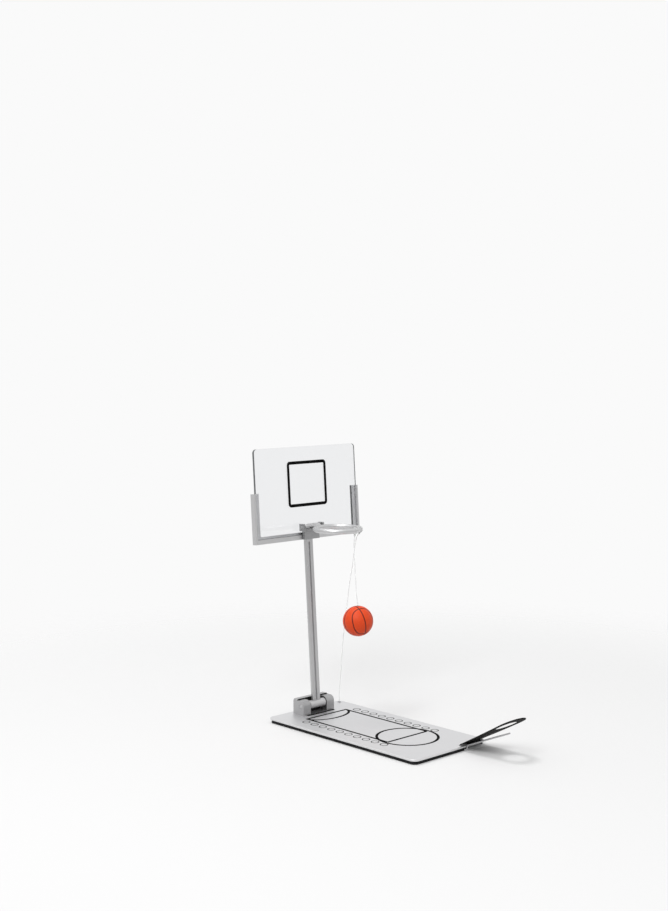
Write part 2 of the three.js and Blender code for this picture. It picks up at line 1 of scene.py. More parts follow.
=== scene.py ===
import math
import bmesh
import bpy
import numpy as np
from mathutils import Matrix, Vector


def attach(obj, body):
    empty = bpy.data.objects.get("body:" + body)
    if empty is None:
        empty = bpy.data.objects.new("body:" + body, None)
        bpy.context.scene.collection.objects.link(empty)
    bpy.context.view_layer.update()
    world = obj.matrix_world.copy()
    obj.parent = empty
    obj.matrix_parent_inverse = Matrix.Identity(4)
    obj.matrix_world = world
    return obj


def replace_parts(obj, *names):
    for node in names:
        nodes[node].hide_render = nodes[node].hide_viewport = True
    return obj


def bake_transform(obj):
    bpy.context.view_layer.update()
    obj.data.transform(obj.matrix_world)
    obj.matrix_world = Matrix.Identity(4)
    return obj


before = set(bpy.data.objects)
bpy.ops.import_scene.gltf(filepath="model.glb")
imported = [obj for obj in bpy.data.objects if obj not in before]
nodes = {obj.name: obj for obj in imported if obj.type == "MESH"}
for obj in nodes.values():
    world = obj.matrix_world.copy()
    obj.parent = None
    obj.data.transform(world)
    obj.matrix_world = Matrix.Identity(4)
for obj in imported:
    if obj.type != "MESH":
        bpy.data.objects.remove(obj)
mm = 0.001  # all lengths are in metres


def writeSize():
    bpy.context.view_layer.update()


writeSize()


# Camera

view = {
    "location": (-0.739, -0.73423, 0.29305),
    "yaw": 43.482,
    "pitch": -4.318,
    "lens": 54.4,
    "sensor": 36,
}


def makeCamera():
    data = bpy.data.cameras.new("camera")
    data.lens = view["lens"]
    data.sensor_width = view["sensor"]
    camera = bpy.data.objects.new("camera", data)
    camera.location = view["location"]
    camera.rotation_euler = (math.radians(90 + view["pitch"]), 0, -math.radians(view["yaw"]))
    bpy.context.scene.collection.objects.link(camera)
    bpy.context.scene.camera = camera


makeCamera()
print("camera made")


# Materials

# Each finish: name, colour, metallic, roughness and other sockets of its shader
finishes = {
    "court": ("courtMetal", (0.75, 0.75, 0.76), 1, 0.46, {}),
    "part": ("partMetal", (0.64, 0.64, 0.645), 1, 0.42, {}),
    "block": ("blockMetal", (0.46, 0.46, 0.465), 1, 0.42, {}),
    # The pocket finish is painted shade: near black, for the shade in the hinge block's pocket under the
    # barrel
    "pocket": ("pocketPaintedShade", (0.03, 0.03, 0.031), 1, 0.6, {}),
    # The inside finish is painted shade: the arms' inner faces are painted near black for the shade between
    # the arms
    "inside": ("insidePaintedShade", (0.06, 0.06, 0.065), 1, 0.5, {}),
    # The bracket's metal is darker than the frame's as painted shade, for the shadow of the hoop on it
    "bracket": ("bracketMetalPaintedShade", (0.38, 0.38, 0.385), 1, 0.42, {}),
    "mast": ("mastMetal", (0.54, 0.54, 0.545), 1, 0.4, {}),
    "hoop": ("hoopMetal", (0.65, 0.65, 0.655), 1, 0.45, {}),
    "steel": ("screwSteel", (0.5, 0.5, 0.51), 1, 0.3, {}),
    "clamp": ("clampSteel", (0.3, 0.3, 0.31), 1, 0.42, {}),
    "leaf": ("leafSteel", (0.003, 0.003, 0.003), 0, 0.7, {"Specular IOR Level": 0.1}),
    "foam": ("padFoam", (0.01, 0.01, 0.011), 0, 0.95, {}),
    "washer": ("washerNylon", (0.015, 0.015, 0.016), 0, 0.5, {}),
    "ink": ("printInk", (0.003, 0.003, 0.003), 0, 0.9, {"Specular IOR Level": 0.1}),
    "string": ("stringNylon", (0.96, 0.965, 0.96), 0, 0.4, {"Transmission Weight": 0.75, "IOR": 1.2}),
    "plug": ("plugRubber", (0.02, 0.02, 0.02), 0, 0.7, {}),
    "panel": ("panelAcrylic", (0.895, 0.9, 0.91), 0, 0.03, {"Transmission Weight": 1.0, "IOR": 1.49}),
    # The panel edge's colour is replaced by painted shade above the arms and painted light in them
    "panelEdge": ("panelEdgePaintedLightAndShade", (0.17, 0.175, 0.18), 0, 0.4, {"Transmission Weight": 0.1, "IOR": 1.49}),
}
# Each grain: how the noise is squeezed along x, y and z, how much roughness and colour vary, and its relief
grains = {
    "court": ((2600, 2600, 2600), 0.08, 0.05, 0.25),
    "part": ((500, 3200, 3200), 0.08, 0.04, 0.25),
    "block": ((2600, 3200, 3200), 0.08, 0.04, 0.25),
    "inside": ((2600, 3200, 900), 0.08, 0.04, 0.25),
    "bracket": ((500, 3200, 3200), 0.08, 0.04, 0.25),
    "pocket": ((2600, 3200, 3200), 0.08, 0.04, 0.25),
    "mast": ((4000, 4000, 220), 0.08, 0.05, 0.25),
    "hoop": ((2400, 2400, 2400), 0.05, 0.02, 0.05),
    "steel": ((2500, 2500, 2500), 0.06, 0.03, 0.12),
    "clamp": ((2500, 2500, 2500), 0.08, 0.04, 0.2),
    "leaf": ((2200, 2200, 2200), 0.08, 0.1, 0.15),
    "foam": ((1800, 1800, 1800), 0.04, 0.25, 0.9),
    "plug": ((1500, 1500, 1500), 0.1, 0.1, 0.2),
}
# Painted light and shade on the panel's edge: the height above which it is painted dark, its painted pale
# colour in the arms and its painted dark colour above them
panelEdgeLightAndShade = {"height": 183 * mm, "paintedLightInArms": (0.96, 0.965, 0.97, 1), "paintedShadeAboveArms": (0.15, 0.155, 0.16, 1)}
reliefDepth = 0.1 * mm


def newMaterial(name, color, metallic, roughness, sockets):
    material = bpy.data.materials.new(name)
    material.use_nodes = True
    inputs = material.node_tree.nodes["Principled BSDF"].inputs
    inputs["Base Color"].default_value = (*color, 1)
    inputs["Metallic"].default_value = metallic
    inputs["Roughness"].default_value = roughness
    for socket, value in sockets.items():
        inputs[socket].default_value = value
    return material


# A node of a material or of the world, with the given values in its sockets or settings
def addNode(owner, kind, **values):
    node = owner.node_tree.nodes.new(kind)
    for name, value in values.items():
        if name in node.inputs:
            node.inputs[name].default_value = value
        else:
            setattr(node, name, value)
    return node


def join(owner, source, goal):
    owner.node_tree.links.new(source, goal)


# Fine marks in the surface: one noise varies roughness, colour and relief a little
def addGrain(material, squeeze, roughnessSpread, colorSpread, relief):
    shader = material.node_tree.nodes["Principled BSDF"]
    coordinates = addNode(material, "ShaderNodeTexCoord")
    mapping = addNode(material, "ShaderNodeMapping", Scale=squeeze)
    noise = addNode(material, "ShaderNodeTexNoise", Scale=1.0, Detail=4.0, Roughness=0.6)
    join(material, coordinates.outputs["Object"], mapping.inputs["Vector"])
    join(material, mapping.outputs["Vector"], noise.inputs["Vector"])
    roughness = shader.inputs["Roughness"].default_value
    spread = addNode(material, "ShaderNodeMapRange")
    spread.inputs["To Min"].default_value = max(0.02, roughness - roughnessSpread)
    spread.inputs["To Max"].default_value = min(1, roughness + roughnessSpread)
    join(material, noise.outputs["Fac"], spread.inputs["Value"])
    join(material, spread.outputs["Result"], shader.inputs["Roughness"])
    base = shader.inputs["Base Color"].default_value[:3]
    mix = addNode(material, "ShaderNodeMix", data_type="RGBA")
    mix.inputs["A"].default_value = (*[value * (1 - colorSpread) for value in base], 1)
    mix.inputs["B"].default_value = (*[min(1, value * (1 + colorSpread)) for value in base], 1)
    join(material, noise.outputs["Fac"], mix.inputs["Factor"])
    join(material, mix.outputs["Result"], shader.inputs["Base Color"])
    bump = addNode(material, "ShaderNodeBump", Strength=relief, Distance=reliefDepth)
    join(material, noise.outputs["Fac"], bump.inputs["Height"])
    join(material, bump.outputs["Normal"], shader.inputs["Normal"])


# The panel's edge is painted dark above the arms of the frame as painted shade, and painted pale where it
# lies in them as painted light
def paintEdgeLightAndShade(material):
    coordinates = addNode(material, "ShaderNodeTexCoord")
    parts = addNode(material, "ShaderNodeSeparateXYZ")
    above = addNode(material, "ShaderNodeMath", operation="GREATER_THAN")
    above.inputs[1].default_value = panelEdgeLightAndShade["height"]
    mix = addNode(material, "ShaderNodeMix", data_type="RGBA")
    mix.inputs["A"].default_value = panelEdgeLightAndShade["paintedLightInArms"]
    mix.inputs["B"].default_value = panelEdgeLightAndShade["paintedShadeAboveArms"]
    join(material, coordinates.outputs["Object"], parts.inputs["Vector"])
    join(material, parts.outputs["Z"], above.inputs[0])
    join(material, above.outputs["Value"], mix.inputs["Factor"])
    shader = material.node_tree.nodes["Principled BSDF"]
    join(material, mix.outputs["Result"], shader.inputs["Base Color"])


materials = {key: newMaterial(*finish) for key, finish in finishes.items()}
for key, grain in grains.items():
    addGrain(materials[key], *grain)
paintEdgeLightAndShade(materials["panelEdge"])

ballSize = {
    "radius": 11.9 * mm,
    "hang": np.array([2.3, -1.3, -70.8]) * mm,
    "seam": 0.42 * mm,
    "groove": 0.22 * mm,
}
rubber = {
    "finish": ("ballRubber", (0.9, 0.1, 0.02), 0, 0.45, {"Specular IOR Level": 0.3}),
    "light": (1, 0.115, 0.025, 1),
    "dark": (0.9, 0.06, 0.008, 1),
    "seam": (0.05, 0.003, 0.002, 1),
    "seamFirst": 0.8,  # the seam's colour ends between these shares of its width
    "seamLast": 1.1,
    "pebbles": 1500.0,
    "relief": 0.5,
}


# Orange rubber, nearly black where the seam attribute, the distance from a seam, is small. It has small
# pebbles in relief.
def makeBallRubber():
    material = newMaterial(*rubber["finish"])
    shader = material.node_tree.nodes["Principled BSDF"]
    seam = addNode(material, "ShaderNodeAttribute", attribute_name="seam")
    edge = addNode(material, "ShaderNodeMapRange", clamp=True)
    edge.inputs["From Min"].default_value = ballSize["seam"] * rubber["seamFirst"]
    edge.inputs["From Max"].default_value = ballSize["seam"] * rubber["seamLast"]
    join(material, seam.outputs["Fac"], edge.inputs["Value"])
    coordinates = addNode(material, "ShaderNodeTexCoord")
    pebbles = addNode(material, "ShaderNodeTexVoronoi", Scale=rubber["pebbles"])
    join(material, coordinates.outputs["Object"], pebbles.inputs["Vector"])
    tone = addNode(material, "ShaderNodeMix", data_type="RGBA")
    tone.inputs["A"].default_value = rubber["light"]
    tone.inputs["B"].default_value = rubber["dark"]
    join(material, pebbles.outputs["Distance"], tone.inputs["Factor"])
    mix = addNode(material, "ShaderNodeMix", data_type="RGBA")
    mix.inputs["A"].default_value = rubber["seam"]
    join(material, edge.outputs["Result"], mix.inputs["Factor"])
    join(material, tone.outputs["Result"], mix.inputs["B"])
    join(material, mix.outputs["Result"], shader.inputs["Base Color"])
    bump = addNode(material, "ShaderNodeBump", Strength=rubber["relief"], Distance=reliefDepth, invert=True)
    join(material, pebbles.outputs["Distance"], bump.inputs["Height"])
    join(material, bump.outputs["Normal"], shader.inputs["Normal"])
    return material


materials["ball"] = makeBallRubber()
print("materials made")


# Mesh builders: whole arrays of points and faces

# From how many degrees an edge counts as sharp, on copied solids and on new surfaces
sharpFrom = {"solid": 28, "surface": 35}
# What is merged in a copied solid: points closer than this, and faces less than this many degrees apart
merging = {"points": 0.001 * mm, "faces": 0.3}


def meshObject(name, points, faces, material, body=None, smooth=True):
    mesh = bpy.data.meshes.new(name)
    mesh.from_pydata(np.asarray(points, float).tolist(), [], [list(face) for face in faces])
    made = bpy.data.objects.new(name, mesh)
    bpy.context.scene.collection.objects.link(made)
    mesh.materials.append(material)
    if smooth:
        mesh.shade_smooth()
        mesh.set_sharp_from_angle(angle=math.radians(sharpFrom["surface"]))
    if body:
        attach(made, body)
    return made


# Merges points closer than the given distance, if there is one, and turns the faces outwards
def tidyFaces(mesh, merge=0):
    shape = bmesh.new()
    shape.from_mesh(mesh)
    if merge:
        bmesh.ops.remove_doubles(shape, verts=shape.verts, dist=merge)
    bmesh.ops.recalc_face_normals(shape, faces=shape.faces)
    shape.to_mesh(mesh)
    shape.free()


def addBevel(made, width, steps, angle=sharpFrom["solid"]):
    modifier = made.modifiers.new("edges", "BEVEL")
    modifier.width = width
    modifier.segments = steps
    modifier.limit_method = "ANGLE"
    modifier.angle_limit = math.radians(angle)
    modifier.harden_normals = True
    modifier.use_clamp_overlap = True


# Quads between rows of equal count: row i, point j is number i * count + j. Each row closes on itself
# unless openRows is set, and a closed set joins its last row to its first.
def ringFaces(rings, count, closed=False, openRows=False):
    rows = np.arange(rings if closed else rings - 1)
    ring, point = np.meshgrid(rows, np.arange(count - 1 if openRows else count), indexing="ij")
    following, beside = (ring + 1) % rings, (point + 1) % count
    low, high = ring * count, following * count
    return np.stack([low + point, high + point, high + beside, low + beside], -1).reshape(-1, 4)


# Quads round stacked rings, with one flat face over each end
def cappedFaces(rings, count):
    last = (rings - 1) * count
    caps = [list(range(count))[::-1], [last + number for number in range(count)]]
    return ringFaces(rings, count)[:, ::-1].tolist() + caps


# Two directions square to a path at each of its points, carried along it without twist: the side of the point
# before, less its part along the path and set to length one, and the direction square to it and the path
def pathFrames(path, closed=False):
    ahead = np.roll(path, -1, 0) - np.roll(path, 1, 0)
    if not closed:
        ahead[0], ahead[-1] = path[1] - path[0], path[-1] - path[-2]
    ahead /= np.linalg.norm(ahead, axis=1)[:, None]
    start = np.array([1.0, 0, 0]) if abs(ahead[0][0]) < 0.8 else np.array([0, 1.0, 0])
    sides = [start]
    for direction in ahead:
        side = sides[-1] - direction * (sides[-1] @ direction)
        sides.append(side / np.linalg.norm(side))
    side = np.array(sides[1:])
    return side, np.cross(ahead, side)


# A circle carried along a path: path + radius * (cos a * side + sin a * other). An open one has flat ends.
def tube(name, path, radius, material, body=None, sides=16, closed=False):
    path = np.asarray(path, float)
    side, other = pathFrames(path, closed)
    angles = np.arange(sides) / sides * 2 * math.pi
    circle = np.cos(angles)[None, :, None] * side[:, None] + np.sin(angles)[None, :, None] * other[:, None]
    points = (path[:, None] + radius * circle).reshape(-1, 3)
    faces = ringFaces(len(path), sides, closed)[:, ::-1] if closed else cappedFaces(len(path), sides)
    return meshObject(name, points, faces, material, body)


# A smooth curve through points: each stretch is the Catmull-Rom cubic of its four nearest points
def curveThrough(points, steps):
    points = np.asarray(points, float)
    padded = np.vstack([2 * points[0] - points[1], points, 2 * points[-1] - points[-2]])
    share = (np.arange(steps) / steps)[:, None]
    stretches = []
    for a, b, c, d in zip(padded, padded[1:], padded[2:], padded[3:]):
        linear = (c - a) * share
        square = (2 * a - 5 * b + 4 * c - d) * share ** 2
        cube = (3 * b - a - 3 * c + d) * share ** 3
        stretches.append(b + 0.5 * (linear + square + cube))
    return np.vstack(stretches + [points[-1:]])


# Rings round an axis: place + reach * (cos a * across + sin a * other) + height * axis. Each row is
# (radius, height, hexagon or not). A hexagon's reach is radius * cos 30 / cos (a - 30), and a starts again
# at nought every 60 degrees.
def turned(name, rows, place, axis, material, body, count=48):
    angles = np.arange(count) / count * 2 * math.pi
    hexagon = math.cos(math.pi / 6) / np.cos((angles % (math.pi / 3)) - math.pi / 6)
    axis = np.asarray(axis, float) / np.linalg.norm(axis)
    across = np.cross(axis, [0, 0, 1.0] if abs(axis[2]) < 0.8 else [1.0, 0, 0])
    across /= np.linalg.norm(across)
    other = np.cross(axis, across)
    points = []
    for radius, height, isHexagon in rows:
        reach = radius * (hexagon if isHexagon else np.ones(count))
        flat = reach[:, None] * (np.cos(angles)[:, None] * across + np.sin(angles)[:, None] * other)
        points.append(np.asarray(place) + flat + height * axis)
    return meshObject(name, np.vstack(points), cappedFaces(len(rows), count), material, body)


mastPlace = {"lean": math.radians(3.95), "axis": np.array([0, 66, 11.02]) * mm}


# From the upright mast's frame to the model's: turned about x by the lean, then moved up to the mast's axis
def onMast(points):
    points = np.asarray(points, float)
    x, y, z = points[..., 0], points[..., 1], points[..., 2]
    lean = mastPlace["lean"]
    turnedY = y * math.cos(lean) + z * math.sin(lean)
    turnedZ = z * math.cos(lean) - y * math.sin(lean)
    return np.stack([x, turnedY, turnedZ], -1) + mastPlace["axis"]


# A copy of a solid as it is, merged into one mesh and with its sharp edges rounded
def dressed(node, name, material, edge, steps, body):
    shape = bmesh.new()
    shape.from_mesh(nodes[node].data)
    bmesh.ops.remove_doubles(shape, verts=shape.verts, dist=merging["points"])
    flat = math.radians(merging["faces"])
    bmesh.ops.dissolve_limit(shape, angle_limit=flat, verts=shape.verts, edges=shape.edges)
    mesh = bpy.data.meshes.new(name)
    shape.to_mesh(mesh)
    shape.free()
    made = bpy.data.objects.new(name, mesh)
    bpy.context.scene.collection.objects.link(made)
    mesh.materials.clear()
    mesh.materials.append(materials[material])
    mesh.shade_smooth()
    mesh.set_sharp_from_angle(angle=math.radians(sharpFrom["solid"]))
    addBevel(made, edge, steps)
    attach(made, body)
    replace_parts(made, node)
    return made


def dressAll(pieces, body):
    return {node: dressed(node, *finish, body) for node, finish in pieces.items()}


# Strings. The hoop is level, so its own frame is the model's, from the middle of its pin.

ring = {
    "pin": np.array([0, -5.2, 143.3]) * mm,  # in the upright mast's frame
    "reach": 29.6 * mm,  # from the pin to the ring's middle
    "radius": 17.2 * mm,
    "tube": 2 * mm,
    "foot": 1.9 * mm,
    "footWidth": 16 * mm,
    "footEdge": 0.3 * mm,
    "neck": 2.4 * mm,
    "neckWidth": 7 * mm,
    "neckSink": 0.6 * mm,
    "neckEdge": 0.5 * mm,
}
string = {
    "radius": 0.3 * mm,
    "sides": 10,
    "steps": 8,
    "knot": 8,  # degrees round from the hoop's front
    "knotDrop": 3.4 * mm,
    "knotSize": 0.25 * mm,
    "knotPoints": 96,
    "startUnder": 0.5 * mm,  # the ball's string starts this far under its knot
    "endOver": 0.3 * mm,  # and ends this far over the ball
}
# The loop over the hoop's tube, from its first angle to its last in degrees. radiiOff says how many of the
# line's radii its middle is off the tube.
loop = {"first": -58, "last": 238, "points": 40, "steps": 3, "radiiOff": 1.2, "endOver": 0.2 * mm}
winding = {
    "place": 42,  # degrees round from the hoop's front
    "under": 3.2 * mm,
    "turns": 4,
    "turnPoints": 28,
    "width": 2.5 * mm,
    "lineShare": 1.05,
    "knotUnder": 0.9 * mm,
    "knotSize": 0.22 * mm,
}
grommet = {
    "x": 34.8 * mm,
    "y": 75.4 * mm,
    "top": 4.82 * mm,
    "knot": 1.2 * mm,
    "knotSize": 0.3 * mm,
    "stub": np.array([1.2, 2.5, 3.8, 4.9]) * mm,
}

# Routes of the strings: shares of the way from their first end to their last
ballStringShares = [
    (0, 0, 0),
    (-0.2, -0.2, 0.08),
    (-0.22, -0.22, 0.2),
    (0.06, 0.06, 0.42),
    (0.44, 0.44, 0.78),
    (0.8, 0.8, 0.94),
    (1, 1, 1),
]
tetherHighShares = [
    (0, 0, 0),
    (0.11, 0.11, 0.02),
    (0.23, 0.23, 0.09),
    (0.33, 0.33, 0.19),
    (0.43, 0.43, 0.26),
    (0.51, 0.51, 0.33),
    (0.59, 0.59, 0.41),
    (0.67, 0.67, 0.49),
]
tetherLowShares = [
    (0.673, 0.673, 0.492),
    (0.74, 0.74, 0.57),
    (0.8, 0.8, 0.63),
    (0.855, 0.855, 0.725),
    (0.9, 0.9, 0.8),
    (0.95, 0.95, 0.88),
    (0.988, 0.99, 0.948),
    (1, 1, 1),
]


# A point on the middle line of the hoop's tube: radius * (sin a, -cos a) from the ring's middle
def tubePlace(degrees):
    angle = math.radians(degrees)
    radius = ring["radius"]
    return pinPlace + [radius * math.sin(angle), -ring["reach"] - radius * math.cos(angle), 0]


# A smooth curve through first + share * (last - first), with a share for each of x, y and z
def route(shares, first, last):
    return curveThrough(first + np.asarray(shares) * (last - first), string["steps"])


pinPlace = onMast(ring["pin"])
tie = tubePlace(string["knot"])
knotPlace = tie - [0, 0, string["knotDrop"]]
ballPlace = tie + ballSize["hang"]
ballTop = ballPlace + [0, 0, ballSize["radius"]]
windingPlace = tubePlace(winding["place"])
windingUnder = windingPlace - [0, 0, winding["under"]]
grommetTop = np.array([grommet["x"], grommet["y"], grommet["top"]])


def lineTube(name, path, body, radius=string["radius"], closed=False):
    return tube(name, path, radius, materials["string"], body, string["sides"], closed)


def declareString(made, node):
    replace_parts(made, node)


def makeStrings():
    start = knotPlace - [0, 0, string["startUnder"]]
    ballPath = route(ballStringShares, start, ballTop + [0, 0, string["endOver"]])
    declareString(lineTube("ballString", ballPath, "hanging_ball"), "ball_string")
    highPath = route(tetherHighShares, windingUnder, grommetTop)
    upper = lineTube("tetherUpper", highPath, None)
    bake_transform(upper)
    declareString(upper, "tether_high")
    lowPath = np.vstack([highPath[-1:], route(tetherLowShares, windingUnder, grommetTop)])
    lower = lineTube("tetherLower", lowPath, None)
    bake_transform(lower)
    declareString(lower, "tether_low")


# A trefoil: x = sin t + 2 sin 2t, y = -sin 3t, z = cos t - 2 cos 2t, times the knot's size
def makeKnot(name, place, size, body):
    t = np.linspace(0, 2 * math.pi, string["knotPoints"] + 1)[:-1]
    trefoil = np.stack([np.sin(t) + 2 * np.sin(2 * t), -np.sin(3 * t), np.cos(t) - 2 * np.cos(2 * t)], -1)
    return lineTube(name, np.asarray(place) + trefoil * size, body, closed=True)


# The knot under the hoop, and the loop that holds it: reach * (cos a * outward + sin a * upward) round the
# tube's middle, with both ends drawn down into the knot.
def makeTie():
    knot = makeKnot("hangKnot", knotPlace, string["knotSize"], "knot")
    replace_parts(knot, "string_knot")
    outward = tie - pinPlace + [0, ring["reach"], 0]
    outward /= np.linalg.norm(outward)
    upward = np.array([0, 0, 1.0])
    angles = np.radians(np.linspace(loop["first"], loop["last"], loop["points"]))[:, None]
    reach = ring["tube"] + string["radius"] * loop["radiiOff"]
    around = tie + reach * (np.cos(angles) * outward + np.sin(angles) * upward)
    end = knotPlace + [0, 0, loop["endOver"]]
    lineTube("hangLoop", curveThrough(np.vstack([end, around, end]), loop["steps"]), "knot")


# The line winds round the hoop's tube: over * (cos 2 pi t outwards, sin 2 pi t up) from the tube's middle,
# for t turns, while its place round the hoop moves on steadily by the winding's width.
def makeWinding():
    turns = winding["turns"]
    t = np.linspace(0, turns, turns * winding["turnPoints"] + 1)
    angle = math.radians(winding["place"]) + (t / turns - 0.5) * winding["width"] / ring["radius"]
    radius = string["radius"] * winding["lineShare"]
    over = ring["tube"] + radius
    reach = ring["radius"] + over * np.cos(2 * math.pi * t)
    y, z = -ring["reach"] - reach * np.cos(angle), over * np.sin(2 * math.pi * t)
    local = np.stack([reach * np.sin(angle), y, z], -1)
    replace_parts(lineTube("windingLine", pinPlace + local, "hoop", radius), "string_winding")
    knot = windingPlace - [0, 0, ring["tube"] + winding["knotUnder"]]
    makeKnot("windingKnot", knot, winding["knotSize"], "hoop")


# The tether's end below the court: a knot, and a short straight line up through the grommet
def makeCourtKnot():
    x, y = grommet["x"], grommet["y"]
    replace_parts(makeKnot("courtKnot", (x, y, grommet["knot"]), grommet["knotSize"], "base"), "tether_knot")
    lineTube("courtKnotStub", [[x, y, height] for height in grommet["stub"]], "base")


makeStrings()
makeTie()
makeWinding()
makeCourtKnot()
print("strings made")


# Court and its print

# Each piece: the solid that it stands for, its name and finish, and how far and in how many steps its edges
# are rounded
basePieces = {
    "court_plate": ("courtPlate", "court", 0.06 * mm, 1),
    "base_pad": ("basePad", "foam", 0.2 * mm, 2),
    "hinge_block": ("hingeBlock", "block", 0.28 * mm, 3),
    "hinge_pin": ("hingePin", "steel", 0.15 * mm, 2),
    "tether_grommet": ("tetherGrommet", "steel", 0.08 * mm, 2),
    "clamp_bar": ("clampBar", "clamp", 0.1 * mm, 2),
}
# The block's wall is painted dark within this half width, as painted shade
pocketHalf = 8 * mm  # half the width of the block's dark wall
court = {
    "top": 4.02 * mm,
    "middle": 1.2 * mm,
    "line": 2.15 * mm,
    "halfLane": 21.2 * mm,
    "baseline": 54.6 * mm,
    "blockLine": 61.4 * mm,
    "blockLineHalf": 14.6 * mm,
    "freeThrow": -34.1 * mm,
    "circle": 23.2 * mm,
    "arcDepth": 12.6 * mm,
    "inkHeight": 0.03 * mm,
}
dots = {
    "count": 10,
    "radius": 2.85 * mm,
    "line": 0.72 * mm,
    "side": 27.6 * mm,
    "first": 48.5 * mm,
    "pitch": -9.45 * mm,
    "points": 41,
}


# The faces of one strip, whose four edge lines follow each other: low inner and outer, high inner and outer
def stripFaces(start, count, closed):
    i = np.arange(count if closed else count - 1)
    j = (i + 1) % count
    a, b, c, d = (start + count * level for level in range(4))
    walls = [(a + i, a + j, b + j, b + i), (c + i, d + i, d + j, c + j)]
    walls += [(a + i, c + i, c + j, a + j), (b + i, b + j, d + j, d + i)]
    faces = np.vstack([np.stack(wall, -1) for wall in walls]).tolist()
    if not closed:
        last = count - 1
        faces += [[a, b, d, c], [a + last, c + last, d + last, b + last]]
    return faces


# Flat strips of ink, each between two edge lines of equal count, raised from low to high
def makeInk(name, strips, low, high, body, place=None):
    points, faces, start = [], [], 0
    for inner, outer, closed in strips:
        faces += stripFaces(start, len(inner), closed)
        for height in (low, high):
            points += [np.column_stack([edge, np.full(len(edge), height)]) for edge in (inner, outer)]
        start += 4 * len(inner)
    points = np.vstack(points)
    points = points if place is None else place(points)
    made = meshObject(name, points, faces, materials["ink"], body, smooth=False)
    tidyFaces(made.data)


# A straight strip: half the width to each side of the line from a to b
def straight(ax, ay, bx, by, width):
    start, end = np.array([ax, ay]), np.array([bx, by])
    ahead = (end - start) / np.linalg.norm(end - start)
    side = np.array([-ahead[1], ahead[0]]) * width / 2
    return np.array([start + side, end + side]), np.array([start - side, end - side]), False


# A round strip: middle + (cos a, sin a) times each radius less or more half the width
def arc(x, y, radiusX, radiusY, first, last, width, count=97):
    closed = abs(last - first) >= 360
    angles = np.radians(np.linspace(first, last, count)[: -1 if closed else None])
    unit = np.stack([np.cos(angles), np.sin(angles)], -1)
    middle = np.array([x, y])
    inner = middle + unit * [radiusX - width / 2, radiusY - width / 2]
    outer = middle + unit * [radiusX + width / 2, radiusY + width / 2]
    return inner, outer, closed


def courtStrips():
    x, half, width = court["middle"], court["halfLane"], court["line"]
    baseline, freeThrow, circle = court["baseline"], court["freeThrow"], court["circle"]
    blockLine, blockHalf = court["blockLine"], court["blockLineHalf"]
    return [
        straight(x - half - width / 2, baseline, x + half + width / 2, baseline, width),
        straight(x - half, baseline, x - half, freeThrow, width),
        straight(x + half, baseline, x + half, freeThrow, width),
        straight(x - half, freeThrow, x + half, freeThrow, width),
        straight(x - blockHalf, blockLine, x + blockHalf, blockLine, width),
        arc(x, freeThrow, circle, circle, 0, 360, width),
        arc(x, baseline, half, court["arcDepth"], 180, 360, width),
    ]


def dotStrips():
    strips = []
    radius = dots["radius"]
    for number in range(dots["count"]):
        y = dots["first"] + number * dots["pitch"]
        for side in (-1, 1):
            x = court["middle"] + side * dots["side"]
            strips.append(arc(x, y, radius, radius, 0, 360, dots["line"], dots["points"]))
    return strips


def makeBase():
    block = dressAll(basePieces, "base")["hinge_block"]
    # The block's front wall between the ears gets the pocket's painted shade
    block.data.materials.append(materials["pocket"])
    for face in block.data.polygons:
        face.material_index = int(face.normal.y < -0.5 and abs(face.center.x) < pocketHalf)
    low, high = court["top"], court["top"] + court["inkHeight"]
    makeInk("courtLines", courtStrips(), low, high, "base")
    makeInk("courtDots", dotStrips(), low, high, "base")


makeBase()
print("base made")


# Mast, backboard and bracket

mastPieces = {
    "mast_barrel": ("mastBarrel", "part", 0.2 * mm, 3),
    "barrel_washer_left": ("barrelWasherLeft", "washer", 0.06 * mm, 1),
    "barrel_washer_right": ("barrelWasherRight", "washer", 0.06 * mm, 1),
    "mast": ("mastBar", "mast", 0.22 * mm, 3),
    "backboard_frame": ("backboardFrame", "part", 0.25 * mm, 3),
    "backboard_panel": ("backboardPanel", "panel", 0.12 * mm, 2),
    # The bracket's darker metal is painted shade under the hoop
    "hoop_bracket": ("hoopBracket", "bracket", 0.22 * mm, 3),
    "hoop_pin": ("hoopPin", "steel", 0.12 * mm, 2),
}
frameInside = 52 * mm  # the arms' inner sides are nearer to the middle than this
target = {
    "half": 20.9 * mm,
    "low": 159.1 * mm,
    "high": 195.5 * mm,
    "corner": 3 * mm,
    "line": 2.5 * mm,
    "front": 2.1 * mm,
    "inkHeight": 0.03 * mm,
    "cornerPoints": 10,
}


# The frame's faces that look inwards are painted dark as painted shade, and the panel's edge, except its face
# that looks down, has its own material of painted shade and painted light
def makeMast():
    pieces = dressAll(mastPieces, "mast_and_board")
    board, panel = pieces["backboard_frame"].data, pieces["backboard_panel"].data
    board.materials.append(materials["inside"])
    # Inward faces of the arms get the painted shade
    for face in board.polygons:
        inward = face.normal.x * face.center.x < 0
        face.material_index = int(abs(face.normal.x) > 0.5 and inward and abs(face.center.x) < frameInside)
    panel.materials.append(materials["panelEdge"])
    # The panel's edge faces get the painted light and shade
    for face in panel.polygons:
        face.material_index = int(abs(face.normal.y) < 0.5 and face.normal.z > -0.5)
    nodes["mast_screw"].data.materials.clear()
    nodes["mast_screw"].data.materials.append(materials["steel"])


